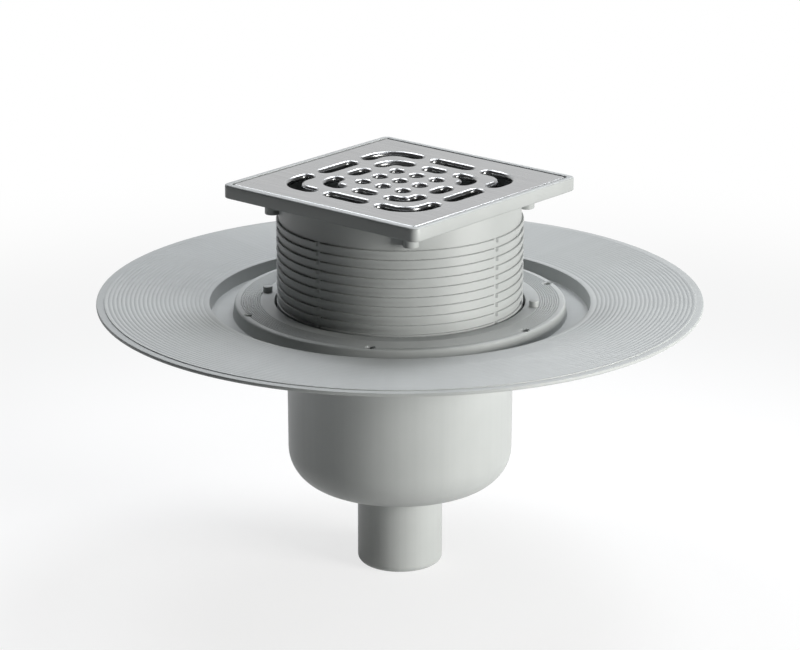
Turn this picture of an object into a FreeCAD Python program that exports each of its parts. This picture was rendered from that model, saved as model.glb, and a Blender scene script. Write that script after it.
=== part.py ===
"""Floor drain: moulded body with a water trap, telescopic riser with a square frame, pressed steel grate.

Millimetres, +Z up. The origin is the centre of the outlet spigot's lower end, on the drain's axis.
The frame's sides lie along X and Y.
"""
import FreeCAD, Part
import math
import os
import re

import Sketcher
from FreeCAD import Vector

# Driving dimensions. Lengths are millimetres, and heights build up from the outlet's lower end.
SIZES = {
    # Walls and clearances
    "wall": 3.0,
    "socket_clearance": 1.3,
    "seal_clearance": 0.3,
    "grate_clearance": 0.7,
    "grate_setback": 0.2,
    "bell_clearance": 0.5,
    # Outlet spigot and pot
    "spigot_radius": 25.0,
    "spigot_length": 50.6,
    "spigot_edge_radius": 4.0,
    "pot_radius": 66.0,
    "pot_draft": 0.4,
    "pot_height": 83.2,
    "pot_corner_radius": 22.0,
    "pipe_height": 60.2,
    # Socket, ring and channel
    "socket_depth": 28.0,
    "collar_wall": 3.8,
    "collar_height": 17.0,
    "ring_radius": 96.0,
    "ring_edge_radius": 1.4,
    "ring_draft": 1.0,
    "ring_smooth_band": 8.0,
    "ring_ridge_pitch": 1.35,
    "ring_ridge_width": 1.0,
    "ring_ridge_depth": 0.5,
    "ring_ridge_margin": 3.2,
    "channel_depth": 8.0,
    "channel_width": 14.6,
    "lip_draft": 0.8,
    # Wide flange
    "flange_radius": 176.0,
    "flange_crease_width": 16.4,
    "flange_crease_rise": 1.3,
    "flange_rim_rise": 2.4,
    "flange_rim_width": 4.4,
    "flange_rim_step": 0.5,
    "flange_rim_thickness": 2.0,
    "ripple_margin": 2.4,
    "ripple_pitch": 2.5,
    "ripple_width": 1.7,
    "ripple_depth": 0.35,
    # Pilot holes and lugs on the ring
    "pilot_count": 6,
    "pilot_inset": 3.8,
    "pilot_radius": 2.15,
    "pilot_floor": 2.0,
    "pilot_seat_radius": 3.0,
    "pilot_seat_depth": 0.5,
    "boss_radius": 3.8,
    "lug_count": 2,
    "lug_turn": 30.0,
    "lug_setback": 5.8,
    "lug_radius": 2.75,
    "lug_height": 3.5,
    # Seal
    "seal_groove_depth": 3.4,
    "seal_groove_width": 6.0,
    "seal_groove_drop": 6.0,
    "seal_lip_height": 1.3,
    "seal_waist": 1.2,
    # Riser tube
    "riser_radius": 71.5,
    "riser_length": 91.4,
    "riser_lead_in": 1.2,
    "rib_pitch": 5.475,
    "rib_count": 10,
    "rib_zone_drop": 13.5,
    "rib_depth": 1.3,
    "rib_height": 2.45,
    "rib_edge": 0.3,
    "gap_width": 3.3,
    "gap_depth": 1.6,
    "gap_margin": 0.2,
    # Frame
    "frame_overhang": 1.0,
    "frame_height": 8.0,
    "frame_floor": 2.8,
    "frame_rim": 3.6,
    "frame_corner_radius": 4.5,
    "frame_top_radius": 1.0,
    "frame_foot_radius": 0.8,
    "frame_mouth_step": 2.5,
    "stud_count": 4,
    "stud_turn": 45.0,
    "stud_radius": 4.5,
    "stud_setout": 2.0,
    "stud_height": 10.2,
    # Grate
    "sheet": 1.5,
    "grate_corner_radius": 2.4,
    "grate_edge_radius": 0.9,
    "slot_half_width": 4.0,
    "slot_roll_radius": 2.2,
    "slot_collar_depth": 3.5,
    "grid_pitch": 15.0,
    "inner_ring_half": 30.8,
    "inner_ring_bend": 9.0,
    "inner_slot_half_length": 3.8,
    "inner_corner_start": 19.8,
    "outer_ring_half": 47.3,
    "outer_ring_bend": 15.0,
    "outer_slot_half_length": 11.2,
    "outer_corner_start": 27.0,
    "quarter_count": 4,
    # Trap bell
    "bell_radius": 36.5,
    "bell_wall": 2.5,
    "bell_floor_gap": 10.2,
    "bell_head_room": 12.0,
    "bell_top_radius": 8.0,
    "bell_rib_count": 4,
    "bell_rib_thickness": 2.5,
    "bell_rib_reach": 6.0,
    "bell_rib_skirt": 8.0,
    "grip_length": 34.0,
    "grip_height": 15.0,
    "grip_thickness": 4.0,
    "grip_corner_radius": 6.0,
}

doc = FreeCAD.newDocument("floor_drain")
sheet = doc.addObject("Spreadsheet::Sheet", "Sizes")
for row, (alias, number) in enumerate(SIZES.items(), start=1):
    sheet.set(f"A{row}", alias)
    sheet.set(f"B{row}", str(number))
    sheet.setAlias(f"B{row}", alias)
doc.recompute()

# Levels and radii that follow from the driving dimensions
POT_INSIDE = "spigot_length + wall"
PIPE_TOP = f"{POT_INSIDE} + pipe_height"
SHOULDER = "spigot_length + pot_height"
RING_TOP = f"{SHOULDER} + socket_depth"
PLATE_UNDERSIDE = f"{RING_TOP} - wall"
CHANNEL_FLOOR = f"{RING_TOP} - channel_depth"
CHANNEL_UNDERSIDE = f"{CHANNEL_FLOOR} - wall"
RIM_TOP = f"{RING_TOP} + flange_rim_rise - flange_rim_step"
BORE_RADIUS = "spigot_radius - wall"
SOCKET_RADIUS = "riser_radius + socket_clearance"
SEAL_GROOVE_RADIUS = f"{SOCKET_RADIUS} + seal_groove_depth"
COLLAR_RADIUS = f"{SEAL_GROOVE_RADIUS} + collar_wall"
LIP_RADIUS = "ring_radius + channel_width"
CREASE_RADIUS = f"{LIP_RADIUS} + flange_crease_width"
CREASE_LEVEL = f"{RING_TOP} + flange_crease_rise"
RIM_RADIUS = "flange_radius - flange_rim_width"
PILOT_CIRCLE = "ring_radius - pilot_inset"
LUG_CIRCLE = f"{SOCKET_RADIUS} + lug_setback"
SEAL_GROOVE_TOP = f"{RING_TOP} - seal_groove_drop"
SEAL_GROOVE_FLOOR = f"{SEAL_GROOVE_TOP} - seal_groove_width"
FRAME_UNDERSIDE = f"{SHOULDER} + riser_length"
FRAME_LEDGE = f"{FRAME_UNDERSIDE} + frame_floor"
FRAME_TOP = f"{FRAME_UNDERSIDE} + frame_height"
FRAME_HALF = "riser_radius + frame_overhang"
RECESS_HALF = f"{FRAME_HALF} - frame_rim"
GRATE_HALF = f"{RECESS_HALF} - grate_clearance"
GRATE_TOP = f"{FRAME_TOP} - grate_setback"
BELL_FOOT = f"{POT_INSIDE} + bell_floor_gap"
BELL_CEILING = f"{PIPE_TOP} + bell_head_room"
BELL_TOP = f"{BELL_CEILING} + bell_wall"
NEAR = 1e-4


def cells(formula):
    """The formula with each alias written as a cell of the sheet."""
    return re.sub(r"\b[a-z_]+\b(?!\()", lambda alias: "Sizes." + alias.group(), formula)


def value(formula):
    """The number that a formula gives with the sheet's sizes."""
    return float(sheet.evalExpression(cells(formula)))


def origin_feature(body, role):
    return next(f for f in body.Origin.OriginFeatures if f.Role == role)


def add_body(name):
    body = doc.addObject("PartDesign::Body", name)
    body.Label = name
    return body


def add_sketch(body, name, role, height=None):
    """An empty sketch on one of the body's origin planes, lifted to a height where one is given."""
    sketch = body.newObject("Sketcher::SketchObject", name)
    sketch.AttachmentSupport = [(origin_feature(body, role), "")]
    sketch.MapMode = "FlatFace"
    if height is not None:
        sketch.setExpression("AttachmentOffset.Base.z", cells(height))
    return sketch


def dimension(kind, *args):
    """A dimension of a sketch and the formula, given last, that it follows."""
    *places, formula = args
    return Sketcher.Constraint(kind, *places, value(formula)), formula


def relation(kind, *places):
    return Sketcher.Constraint(kind, *places), None


def point_held(geometry, position, across, up):
    """A point held by its two distances from the sketch's origin; "0" puts it on an axis."""
    if across == "0":
        yield relation("PointOnObject", geometry, position, -2)
    else:
        yield dimension("DistanceX", -1, 1, geometry, position, across)
    if up == "0":
        yield relation("PointOnObject", geometry, position, -1)
    else:
        yield dimension("DistanceY", -1, 1, geometry, position, up)


def constrain(sketch, held):
    """Adds constraints to a sketch at once and binds the dimensions among them to their formulas."""
    first = sketch.ConstraintCount
    sketch.addConstraint([constraint for constraint, _ in held])
    for index, (_, formula) in enumerate(held, start=first):
        if formula is not None:
            sketch.setExpression(f"Constraints[{index}]", cells(formula))


def draw_polygon(sketch, points):
    """A closed outline of straight lines whose corners are pairs of formulas."""
    first = sketch.GeometryCount
    corners = [Vector(value(x), value(y), 0) for x, y in points]
    count = len(corners)
    sketch.addGeometry([Part.LineSegment(corners[i - 1], corners[i]) for i in range(count)], False)
    held = [relation("Coincident", first + i - 1, 2, first + i, 1) for i in range(1, count)]
    held.append(relation("Coincident", first + count - 1, 2, first, 1))
    for i, (x, y) in enumerate(points):
        held.extend(point_held(first + i, 2, x, y))
    constrain(sketch, held)


def draw_circle(sketch, across, up, radius):
    centre = Vector(value(across), value(up), 0)
    circle = sketch.addGeometry(Part.Circle(centre, Vector(0, 0, 1), value(radius)), False)
    if across == up == "0":
        held = [relation("Coincident", circle, 3, -1, 1)]
    else:
        held = list(point_held(circle, 3, across, up))
    constrain(sketch, held + [dimension("Radius", circle, radius)])


def draw_arcs(sketch, arcs):
    """A closed outline of arcs joined by straight lines.

    Each arc is a centre, a radius and the angles of its two ends in quarter turns, in the order of travel.
    """
    spots = []
    held = []
    for across, up, radius, start, end in arcs:
        low, high = sorted((start, end))
        circle = Part.Circle(Vector(value(across), value(up), 0), Vector(0, 0, 1), value(radius))
        arc = sketch.addGeometry(Part.ArcOfCircle(circle, low * math.pi / 2, high * math.pi / 2), False)
        held.extend(point_held(arc, 3, across, up))
        held.append(dimension("Radius", arc, radius))
        for position, quarter in ((1, low), (2, high)):
            held.append(relation("Vertical" if quarter % 2 else "Horizontal", arc, position, arc, 3))
        spots.append((arc, 1, 2) if start < end else (arc, 2, 1))
    for (arc, _, leave), (following, enter, _) in zip(spots, spots[1:] + spots[:1]):
        ends = (sketch.getPoint(arc, leave), sketch.getPoint(following, enter))
        line = sketch.addGeometry(Part.LineSegment(*ends), False)
        held.append(relation("Coincident", line, 1, arc, leave))
        held.append(relation("Coincident", line, 2, following, enter))
    constrain(sketch, held)


def add_feature(body, kind, name, sketch, **formulas):
    """A pad, pocket, revolution or groove made from a sketch, with its sizes bound to formulas."""
    feature = body.newObject("PartDesign::" + kind, name)
    feature.Profile = sketch
    if kind in ("Revolution", "Groove"):
        feature.ReferenceAxis = (sketch, ["V_Axis"])
        feature.Angle = 360.0
    for prop, formula in formulas.items():
        feature.setExpression(prop, cells(formula))
    doc.recompute()
    return feature


def repeat_round(body, name, feature, count):
    """Copies of a feature, evenly spaced round the drain's axis."""
    pattern = body.newObject("PartDesign::PolarPattern", name)
    pattern.Originals = [feature]
    pattern.Axis = (origin_feature(body, "Z_Axis"), [""])
    pattern.Angle = 360.0
    pattern.setExpression("Occurrences", cells(count))
    body.Tip = pattern
    doc.recompute()
    return pattern


def repeat_down(body, name, features, count):
    """Repeats features down the riser, one for each rib."""
    copies = body.newObject("PartDesign::LinearPattern", name)
    copies.Originals = features
    copies.Direction = (origin_feature(body, "Z_Axis"), [""])
    copies.Reversed = True
    copies.setExpression("Length", cells(f"({count} - 1) * rib_pitch"))
    copies.setExpression("Occurrences", cells(count))
    body.Tip = copies
    doc.recompute()
    return copies


def round_edges(body, name, radius, chosen):
    """A fillet on the edges of the body's last feature that the test picks."""
    base = body.Tip
    names = [f"Edge{i}" for i, edge in enumerate(base.Shape.Edges, start=1) if chosen(edge)]
    fillet = body.newObject("PartDesign::Fillet", name)
    fillet.Base = (base, names)
    fillet.setExpression("Radius", cells(radius))
    body.Tip = fillet
    doc.recompute()
    return fillet


def circle_at(radius, height):
    """A test for the round edge of that radius, centred on the axis at that height."""
    wanted_radius, wanted_height = value(radius), value(height)

    def matches(edge):
        if not isinstance(edge.Curve, Part.Circle):
            return False
        curve = edge.Curve
        on_axis = math.hypot(curve.Center.x, curve.Center.y) < NEAR
        right_height = abs(curve.Center.z - wanted_height) < NEAR
        return on_axis and right_height and abs(curve.Radius - wanted_radius) < NEAR

    return matches


def upright_at(half):
    """A test for the four upright corner edges of a square of that half side."""
    wanted = value(half)

    def matches(edge):
        box = edge.BoundBox
        upright = box.XLength < NEAR and box.YLength < NEAR
        return upright and abs(abs(box.XMin) - wanted) < NEAR and abs(abs(box.YMin) - wanted) < NEAR

    return matches


def outline_at(half, corner, height):
    """A test for the edges of a rounded square's outline at that height."""
    side, bend, level = value(half), value(corner), value(height)

    def matches(edge):
        box = edge.BoundBox
        flat = abs(box.ZMin - level) < NEAR and abs(box.ZMax - level) < NEAR
        middle = edge.valueAt((edge.FirstParameter + edge.LastParameter) / 2)
        along, across = sorted((abs(middle.x), abs(middle.y)))
        straight = abs(across - side) < NEAR
        bent = abs(math.hypot(along - side + bend, across - side + bend) - bend) < NEAR
        return flat and (straight or bent and along > side - bend)

    return matches


def square_points(half):
    return [(f"-({half})", f"-({half})"), (half, f"-({half})"), (half, half), (f"-({half})", half)]


# Drain body: spigot, pot, inner pipe, socket, ring, channel and wide flange in one turned section
body = add_body("drain_body")
section = add_sketch(body, "body_section", "XZ_Plane")
draw_polygon(section, [
    (BORE_RADIUS, "0"),
    ("spigot_radius", "0"),
    ("spigot_radius", "spigot_length"),
    ("pot_radius - pot_draft", "spigot_length"),
    ("pot_radius", f"{SHOULDER} - wall"),
    (f"{SOCKET_RADIUS} + wall", f"{SHOULDER} - wall"),
    (f"{SOCKET_RADIUS} + wall", f"{RING_TOP} - collar_height"),
    (COLLAR_RADIUS, f"{RING_TOP} - collar_height + wall"),
    (COLLAR_RADIUS, PLATE_UNDERSIDE),
    ("ring_radius - wall", PLATE_UNDERSIDE),
    ("ring_radius + ring_draft - wall", CHANNEL_UNDERSIDE),
    (f"{LIP_RADIUS} - lip_draft + wall", CHANNEL_UNDERSIDE),
    (f"{LIP_RADIUS} + wall", PLATE_UNDERSIDE),
    ("flange_radius", f"{RIM_TOP} - flange_rim_thickness"),
    ("flange_radius", RIM_TOP),
    (RIM_RADIUS, RIM_TOP),
    (RIM_RADIUS, f"{RING_TOP} + flange_rim_rise"),
    (CREASE_RADIUS, CREASE_LEVEL),
    (LIP_RADIUS, RING_TOP),
    (f"{LIP_RADIUS} - lip_draft", CHANNEL_FLOOR),
    ("ring_radius + ring_draft", CHANNEL_FLOOR),
    ("ring_radius", RING_TOP),
    (SOCKET_RADIUS, RING_TOP),
    (SOCKET_RADIUS, SHOULDER),
    ("pot_radius - wall", SHOULDER),
    ("pot_radius - pot_draft - wall", POT_INSIDE),
    ("spigot_radius", POT_INSIDE),
    ("spigot_radius", PIPE_TOP),
    (BORE_RADIUS, PIPE_TOP),
])
add_feature(body, "Revolution", "body_turned", section)
round_edges(body, "pot_outer_corner", "pot_corner_radius",
            circle_at("pot_radius - pot_draft", "spigot_length"))
round_edges(body, "pot_inner_corner", "pot_corner_radius - wall",
            circle_at("pot_radius - pot_draft - wall", POT_INSIDE))
SOCKET_STEP = f"{SOCKET_RADIUS} + wall - pot_radius"
round_edges(body, "socket_foot", f"min(wall; {SOCKET_STEP}) / 2",
            circle_at(f"{SOCKET_RADIUS} + wall", f"{SHOULDER} - wall"))
round_edges(body, "ring_edge", "ring_edge_radius", circle_at("ring_radius", RING_TOP))

# Rounded end of the spigot, turned off its outside and run out at the bore where it is wider than the wall
end_sketch = add_sketch(body, "spigot_end_section", "XZ_Plane")
END_MIDDLE = "spigot_radius - spigot_edge_radius"
END_LEVEL = "sqrt(spigot_edge_radius^2 - max(spigot_edge_radius - wall; 0)^2)"
draw_arcs(end_sketch, [
    (END_MIDDLE, END_LEVEL, "spigot_edge_radius", 3, 4),
    (END_MIDDLE, END_LEVEL, "2 * spigot_edge_radius", 4, 3),
])
add_feature(body, "Groove", "spigot_end", end_sketch)

# Ridges on the ring: a comb of triangles turned out of its top, as many as the ring has room for
ridges = add_sketch(body, "ridge_section", "XZ_Plane")
RIDGE_START = f"{SOCKET_RADIUS} + ring_smooth_band"
ridge_room = value(f"ring_radius - ring_ridge_margin - ({RIDGE_START})")
for ridge in range(round(ridge_room / SIZES["ring_ridge_pitch"])):
    valley = f"{RIDGE_START} + {ridge} * ring_ridge_pitch"
    draw_polygon(ridges, [
        (valley, RING_TOP),
        (f"{valley} + ring_ridge_width / 2", f"{RING_TOP} - ring_ridge_depth"),
        (f"{valley} + ring_ridge_width", RING_TOP),
    ])
add_feature(body, "Groove", "ring_ridges", ridges)


def flange_level(radius):
    """Height of the flange's top at a radius: it climbs to the crease, then more gently to the rim."""
    if value(radius) < value(CREASE_RADIUS):
        return f"{RING_TOP} + flange_crease_rise * ({radius} - ({LIP_RADIUS})) / flange_crease_width"
    climb = f"(flange_rim_rise - flange_crease_rise) / ({RIM_RADIUS} - ({CREASE_RADIUS}))"
    return f"{CREASE_LEVEL} + ({radius} - ({CREASE_RADIUS})) * {climb}"


# Fine grooves round the flange that grip a sealing sheet, from the lip to the plain rim
ripples = add_sketch(body, "ripple_section", "XZ_Plane")
ripple_room = value(f"{RIM_RADIUS} - ({LIP_RADIUS}) - ripple_margin")
for ripple in range(int(ripple_room / SIZES["ripple_pitch"])):
    middle = f"{LIP_RADIUS} + ripple_margin + ({ripple} + 1 / 2) * ripple_pitch"
    near_edge = f"{middle} - ripple_width / 2"
    far_edge = f"{middle} + ripple_width / 2"
    draw_polygon(ripples, [
        (near_edge, flange_level(near_edge)),
        (middle, f"{flange_level(middle)} - ripple_depth"),
        (far_edge, flange_level(far_edge)),
        (middle, f"{flange_level(middle)} + ripple_depth"),
    ])
add_feature(body, "Groove", "flange_ripples", ripples)

# Pilot holes in bosses under the ring, each in a shallow round seat, for the screws of a clamping ring
PILOT_SEAT = f"{RING_TOP} - pilot_seat_depth"
boss_sketch = add_sketch(body, "boss_outline", "XY_Plane", CHANNEL_UNDERSIDE)
draw_circle(boss_sketch, PILOT_CIRCLE, "0", "boss_radius")
boss = add_feature(body, "Pad", "boss", boss_sketch, Length="channel_depth + wall / 2")
repeat_round(body, "bosses", boss, "pilot_count")
seat_sketch = add_sketch(body, "pilot_seat_outline", "XY_Plane", RING_TOP)
draw_circle(seat_sketch, PILOT_CIRCLE, "0", "pilot_seat_radius")
seat = add_feature(body, "Pocket", "pilot_seat", seat_sketch, Length="pilot_seat_depth")
repeat_round(body, "pilot_seats", seat, "pilot_count")
pilot_sketch = add_sketch(body, "pilot_outline", "XY_Plane", PILOT_SEAT)
draw_circle(pilot_sketch, PILOT_CIRCLE, "0", "pilot_radius")
pilot = add_feature(body, "Pocket", "pilot_hole", pilot_sketch,
                    Length="channel_depth + wall - pilot_floor - pilot_seat_depth")
repeat_round(body, "pilot_holes", pilot, "pilot_count")

# Two round lugs on the ring's smooth inner band
lug_sketch = add_sketch(body, "lug_outline", "XY_Plane", f"{RING_TOP} - wall / 2")
lug_sketch.setExpression("AttachmentOffset.Rotation.Angle", cells("lug_turn"))
draw_circle(lug_sketch, LUG_CIRCLE, "0", "lug_radius")
lug = add_feature(body, "Pad", "lug", lug_sketch, Length="wall / 2 + lug_height")
repeat_round(body, "lugs", lug, "lug_count")

# Groove for the seal, turned out of the socket's wall after the bosses
groove_sketch = add_sketch(body, "seal_groove_section", "XZ_Plane")
draw_polygon(groove_sketch, [
    ("riser_radius", SEAL_GROOVE_TOP),
    (SEAL_GROOVE_RADIUS, SEAL_GROOVE_TOP),
    (SEAL_GROOVE_RADIUS, SEAL_GROOVE_FLOOR),
    ("riser_radius", SEAL_GROOVE_FLOOR),
])
add_feature(body, "Groove", "seal_groove", groove_sketch)

# Seal: rubber ring with two lips, free in the socket's groove by the seal clearance
seal = add_body("riser_seal")
seal_section = add_sketch(seal, "seal_section", "XZ_Plane")
SEAL_BACK = f"{SEAL_GROOVE_RADIUS} - seal_clearance"
SEAL_FOOT = f"{SEAL_GROOVE_FLOOR} + seal_clearance"
SEAL_HEAD = f"{SEAL_GROOVE_TOP} - seal_clearance"
SEAL_LIP = "riser_radius + seal_clearance"
SEAL_MIDDLE = f"{SEAL_GROOVE_FLOOR} + seal_groove_width / 2"
draw_polygon(seal_section, [
    (SEAL_BACK, SEAL_FOOT),
    (SEAL_BACK, SEAL_HEAD),
    (f"{SEAL_LIP} + seal_waist", SEAL_HEAD),
    (SEAL_LIP, f"{SEAL_HEAD} - seal_lip_height"),
    (f"{SEAL_LIP} + seal_waist", SEAL_MIDDLE),
    (SEAL_LIP, f"{SEAL_FOOT} + seal_lip_height"),
    (f"{SEAL_LIP} + seal_waist", SEAL_FOOT),
])
add_feature(seal, "Revolution", "seal_turned", seal_section)

# Riser: turned tube with a bevelled lower end, thick below the top rib and thin in the neck above it
RIB_TOP = f"{FRAME_UNDERSIDE} - rib_zone_drop"
riser = add_body("riser")
tube_section = add_sketch(riser, "tube_section", "XZ_Plane")
draw_polygon(tube_section, [
    ("riser_radius - wall", SHOULDER),
    ("riser_radius - riser_lead_in", SHOULDER),
    ("riser_radius", f"{SHOULDER} + riser_lead_in"),
    ("riser_radius", f"{RIB_TOP} - rib_edge"),
    ("riser_radius - rib_edge", RIB_TOP),
    ("riser_radius - rib_depth", RIB_TOP),
    ("riser_radius - rib_depth", FRAME_UNDERSIDE),
    ("riser_radius - wall", FRAME_UNDERSIDE),
])
add_feature(riser, "Revolution", "tube_turned", tube_section)

# Ribs: the space below the top rib, down to the bevelled edge of the next, turned out and repeated downwards
RIB_FOOT = f"{RIB_TOP} - rib_height"
NEXT_TOP = f"{RIB_TOP} - rib_pitch"
space_sketch = add_sketch(riser, "rib_space_section", "XZ_Plane")
draw_polygon(space_sketch, [
    ("riser_radius + wall", RIB_FOOT),
    ("riser_radius - rib_depth", RIB_FOOT),
    ("riser_radius - rib_depth", NEXT_TOP),
    ("riser_radius - rib_edge", NEXT_TOP),
    ("riser_radius", f"{NEXT_TOP} - rib_edge"),
    ("riser_radius + wall", f"{NEXT_TOP} - rib_edge"),
])
space = add_feature(riser, "Groove", "rib_space", space_sketch)
repeat_down(riser, "rib_spaces", [space], "rib_count - 1")

# Gaps through each rib, in the middle of the frame's sides, a little deeper than the ribs stand out
gaps = []
for name, plane in (("gap_across", "XZ_Plane"), ("gap_along", "YZ_Plane")):
    gap_sketch = add_sketch(riser, f"{name}_section", plane)
    for side in ("", "-"):
        draw_polygon(gap_sketch, [
            (f"{side}(riser_radius - gap_depth)", f"{RIB_FOOT} - gap_margin"),
            (f"{side}(riser_radius + wall)", f"{RIB_FOOT} - gap_margin"),
            (f"{side}(riser_radius + wall)", f"{RIB_TOP} + gap_margin"),
            (f"{side}(riser_radius - gap_depth)", f"{RIB_TOP} + gap_margin"),
        ])
    gap = add_feature(riser, "Pocket", name, gap_sketch, Length="gap_width")
    gap.Midplane = True
    gaps.append(gap)
repeat_down(riser, "gaps", gaps, "rib_count")

# Square frame with a recess for the grate and a round mouth, and round studs under its corners
frame_sketch = add_sketch(riser, "frame_outline", "XY_Plane", FRAME_UNDERSIDE)
draw_polygon(frame_sketch, square_points(FRAME_HALF))
add_feature(riser, "Pad", "frame", frame_sketch, Length="frame_height")
round_edges(riser, "frame_corners", "frame_corner_radius", upright_at(FRAME_HALF))
recess_sketch = add_sketch(riser, "recess_outline", "XY_Plane", FRAME_TOP)
draw_polygon(recess_sketch, square_points(RECESS_HALF))
add_feature(riser, "Pocket", "recess", recess_sketch, Length="frame_height - frame_floor")
round_edges(riser, "recess_corners", "grate_corner_radius", upright_at(RECESS_HALF))
mouth_sketch = add_sketch(riser, "mouth_outline", "XY_Plane", FRAME_LEDGE)
draw_circle(mouth_sketch, "0", "0", "riser_radius - wall - frame_mouth_step")
add_feature(riser, "Pocket", "mouth", mouth_sketch, Length="frame_floor")
stud_sketch = add_sketch(riser, "stud_outline", "XY_Plane", f"{FRAME_UNDERSIDE} - stud_height")
stud_sketch.setExpression("AttachmentOffset.Rotation.Angle", cells("stud_turn"))
draw_circle(stud_sketch, "riser_radius + stud_setout", "0", "stud_radius")
stud = add_feature(riser, "Pad", "stud", stud_sketch, Length="stud_height + frame_floor / 2")
repeat_round(riser, "studs", stud, "stud_count")
round_edges(riser, "frame_top_edge", "frame_top_radius",
            outline_at(FRAME_HALF, "frame_corner_radius", FRAME_TOP))
round_edges(riser, "frame_foot_edge", "frame_foot_radius",
            outline_at(FRAME_HALF, "frame_corner_radius", FRAME_UNDERSIDE))

# Grate: a pressed tray, open below, that stands on the frame's ledge
grate = add_body("grate")
GRATE_HEIGHT = "frame_height - frame_floor - grate_setback"
tray_sketch = add_sketch(grate, "tray_outline", "XY_Plane", FRAME_LEDGE)
draw_polygon(tray_sketch, square_points(GRATE_HALF))
add_feature(grate, "Pad", "tray", tray_sketch, Length=GRATE_HEIGHT)
round_edges(grate, "tray_corners", "grate_corner_radius", upright_at(GRATE_HALF))
hollow_sketch = add_sketch(grate, "hollow_outline", "XY_Plane", FRAME_LEDGE)
draw_polygon(hollow_sketch, square_points(f"{GRATE_HALF} - sheet"))
hollow = add_feature(grate, "Pocket", "hollow", hollow_sketch, Length=f"{GRATE_HEIGHT} - sheet")
hollow.Reversed = True
doc.recompute()
round_edges(grate, "tray_edge", "grate_edge_radius", outline_at(GRATE_HALF, "grate_corner_radius", GRATE_TOP))


def draw_slot_quarter(sketch, half_width):
    """One quarter of the slots: two straight, two bent round the corner and two holes of the middle grid."""
    for ring, bend, straight, start in (
        ("inner_ring_half", "inner_ring_bend", "inner_slot_half_length", "inner_corner_start"),
        ("outer_ring_half", "outer_ring_bend", "outer_slot_half_length", "outer_corner_start"),
    ):
        draw_arcs(sketch, [
            (straight, ring, half_width, -1, 1),
            (f"-({straight})", ring, half_width, 1, 3),
        ])
        turn = f"{ring} - {bend}"
        draw_arcs(sketch, [
            (start, ring, half_width, 3, 1),
            (turn, turn, f"{bend} + {half_width}", 1, 0),
            (ring, start, half_width, 4, 2),
            (turn, turn, f"{bend} - ({half_width})", 0, 1),
        ])
    draw_circle(sketch, "grid_pitch", "0", half_width)
    draw_circle(sketch, "grid_pitch", "grid_pitch", half_width)


# Drawn collars round the slots, then the slots themselves, then the rolled edges on top
COLLAR_HALF = "slot_half_width + sheet"
COLLAR_FOOT = f"{GRATE_TOP} - slot_collar_depth"
collar_sketch = add_sketch(grate, "collar_outlines", "XY_Plane", COLLAR_FOOT)
draw_slot_quarter(collar_sketch, COLLAR_HALF)
collars = add_feature(grate, "Pad", "collars", collar_sketch, Length="slot_collar_depth")
repeat_round(grate, "collars_all_round", collars, "quarter_count")
middle_collar_sketch = add_sketch(grate, "middle_collar_outline", "XY_Plane", COLLAR_FOOT)
draw_circle(middle_collar_sketch, "0", "0", COLLAR_HALF)
add_feature(grate, "Pad", "middle_collar", middle_collar_sketch, Length="slot_collar_depth")
slot_sketch = add_sketch(grate, "slot_outlines", "XY_Plane", GRATE_TOP)
draw_slot_quarter(slot_sketch, "slot_half_width")
slots = add_feature(grate, "Pocket", "slots", slot_sketch, Length="slot_collar_depth")
repeat_round(grate, "slots_all_round", slots, "quarter_count")
middle_sketch = add_sketch(grate, "middle_hole_outline", "XY_Plane", GRATE_TOP)
draw_circle(middle_sketch, "0", "0", "slot_half_width")
add_feature(grate, "Pocket", "middle_hole", middle_sketch, Length="slot_collar_depth")
slot_zone = value("outer_ring_half + slot_half_width") + NEAR
grate_level = value(GRATE_TOP)


def slot_rim(edge):
    box = edge.BoundBox
    inside = max(abs(box.XMin), abs(box.XMax), abs(box.YMin), abs(box.YMax)) < slot_zone
    return inside and abs(box.ZMin - grate_level) < NEAR and abs(box.ZMax - grate_level) < NEAR


round_edges(grate, "slot_rolls", "slot_roll_radius", slot_rim)

# Trap bell: a turned cup, mouth down, with ribs inside that stand on the pipe and a grip on top
bell = add_body("trap_bell")
bell_section = add_sketch(bell, "bell_section", "XZ_Plane")
draw_polygon(bell_section, [
    ("bell_radius - bell_wall", BELL_FOOT),
    ("bell_radius", BELL_FOOT),
    ("bell_radius", BELL_TOP),
    ("0", BELL_TOP),
    ("0", BELL_CEILING),
    ("bell_radius - bell_wall", BELL_CEILING),
])
add_feature(bell, "Revolution", "bell_turned", bell_section)
round_edges(bell, "bell_shoulder", "bell_top_radius", circle_at("bell_radius", BELL_TOP))
round_edges(bell, "bell_inner_shoulder", "bell_top_radius - bell_wall",
            circle_at("bell_radius - bell_wall", BELL_CEILING))
rib_sketch = add_sketch(bell, "bell_rib_section", "XZ_Plane")
RIB_ROOT = "bell_radius - bell_wall / 2"
RIB_TOP = f"{BELL_CEILING} + bell_wall / 2"
draw_polygon(rib_sketch, [
    ("spigot_radius - bell_rib_reach", PIPE_TOP),
    ("spigot_radius + bell_clearance", PIPE_TOP),
    ("spigot_radius + bell_clearance", f"{PIPE_TOP} - bell_rib_skirt"),
    (RIB_ROOT, f"{PIPE_TOP} - bell_rib_skirt"),
    (RIB_ROOT, f"{RIB_TOP} - bell_top_radius"),
    (f"{RIB_ROOT} - bell_top_radius", RIB_TOP),
    ("spigot_radius - bell_rib_reach", RIB_TOP),
])
rib = add_feature(bell, "Pad", "bell_rib", rib_sketch, Length="bell_rib_thickness")
rib.Midplane = True
repeat_round(bell, "bell_ribs", rib, "bell_rib_count")
grip_sketch = add_sketch(bell, "grip_outline", "XZ_Plane")
GRIP_TOP = f"{BELL_TOP} + grip_height"
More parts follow.
